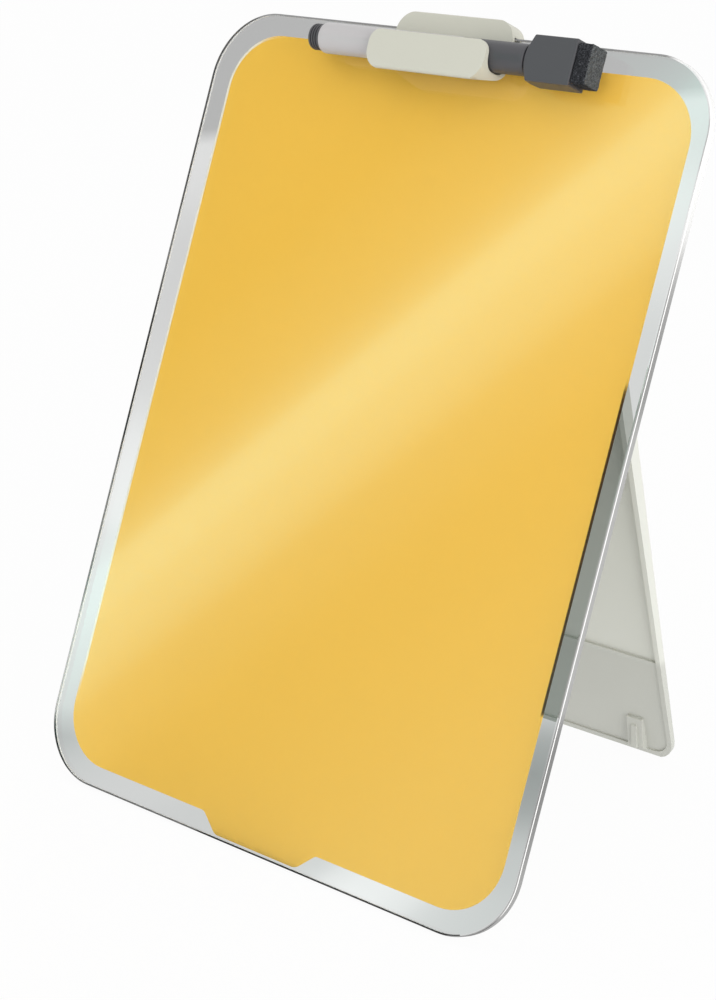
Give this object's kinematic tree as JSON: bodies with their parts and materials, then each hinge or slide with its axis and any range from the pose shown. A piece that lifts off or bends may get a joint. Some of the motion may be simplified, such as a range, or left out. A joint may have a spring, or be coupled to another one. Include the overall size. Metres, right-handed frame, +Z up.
{
  "type": "desktop glass whiteboard",
  "caption": "Glass whiteboard with a coloured back, a fold-out stand hinged behind it, and a clip on its top edge holding a capped marker with an eraser.",
  "frame": {"origin": "middle of the footprint, on the surface that the board and its stand rest on", "axes": "+X along the board's width, towards the marker's eraser; +Y from the glass's foot towards the stand's foot; +Z up"},
  "size_m": [0.216, 0.1612, 0.2807],
  "materials": {
    "clear_glass": "clear float glass with a ground and polished edge",
    "yellow_enamel": "smooth satin enamel on thin steel",
    "foam_tape": "white adhesive foam",
    "warm_white_plastic": "fine satin moulded plastic",
    "zinc_plated_steel": "drawn steel rod, zinc plated",
    "grip_rubber": "soft matte rubber",
    "light_grey_plastic": "semi-gloss moulded plastic",
    "charcoal_plastic": "satin moulded plastic",
    "white_fibre": "wound polyester fibre",
    "inked_felt": "pressed fibre soaked in black ink",
    "eraser_felt": "dense black felt"
  },
  "bodies": {
    "board": {"glass_panel": "clear_glass", "colour_sheet": "yellow_enamel", "cover_tape_top": "foam_tape", "cover_tape_foot": "foam_tape", "cover_tape_left": "foam_tape", "cover_tape_right": "foam_tape", "back_cover": "warm_white_plastic", "hinge_rod": "zinc_plated_steel"},
    "stand": {"stand_panel": "warm_white_plastic"},
    "clip": {"clip_body": "warm_white_plastic", "clip_grip_pad": "grip_rubber"},
    "marker": {"marker_barrel": "light_grey_plastic", "marker_end_plug": "charcoal_plastic", "ink_reservoir": "white_fibre", "nib_holder": "light_grey_plastic", "marker_nib": "inked_felt"},
    "cap": {"marker_cap": "charcoal_plastic", "cap_seal": "grip_rubber", "eraser_holder": "charcoal_plastic", "eraser_pad": "eraser_felt"}
  },
  "joints": [
    {"name": "stand_fold", "type": "hinge", "parent": "board", "child": "stand", "pos_m": [0, 0.01818, 0.20748], "axis": [-1, 0, 0], "range_deg": [0, 39.8]},
    {"name": "clip_slide", "type": "slide", "parent": "board", "child": "clip", "axis": [1, 0, 0], "range_m": [-0.057, 0.057]},
    {"name": "marker_lift", "type": "slide", "parent": "clip", "child": "marker", "axis": [0, 0.3859, 0.9225], "range_m": [0, 0.025]},
    {"name": "cap_pull", "type": "slide", "parent": "marker", "child": "cap", "axis": [1, 0, 0], "range_m": [0, 0.026]}
  ]
}
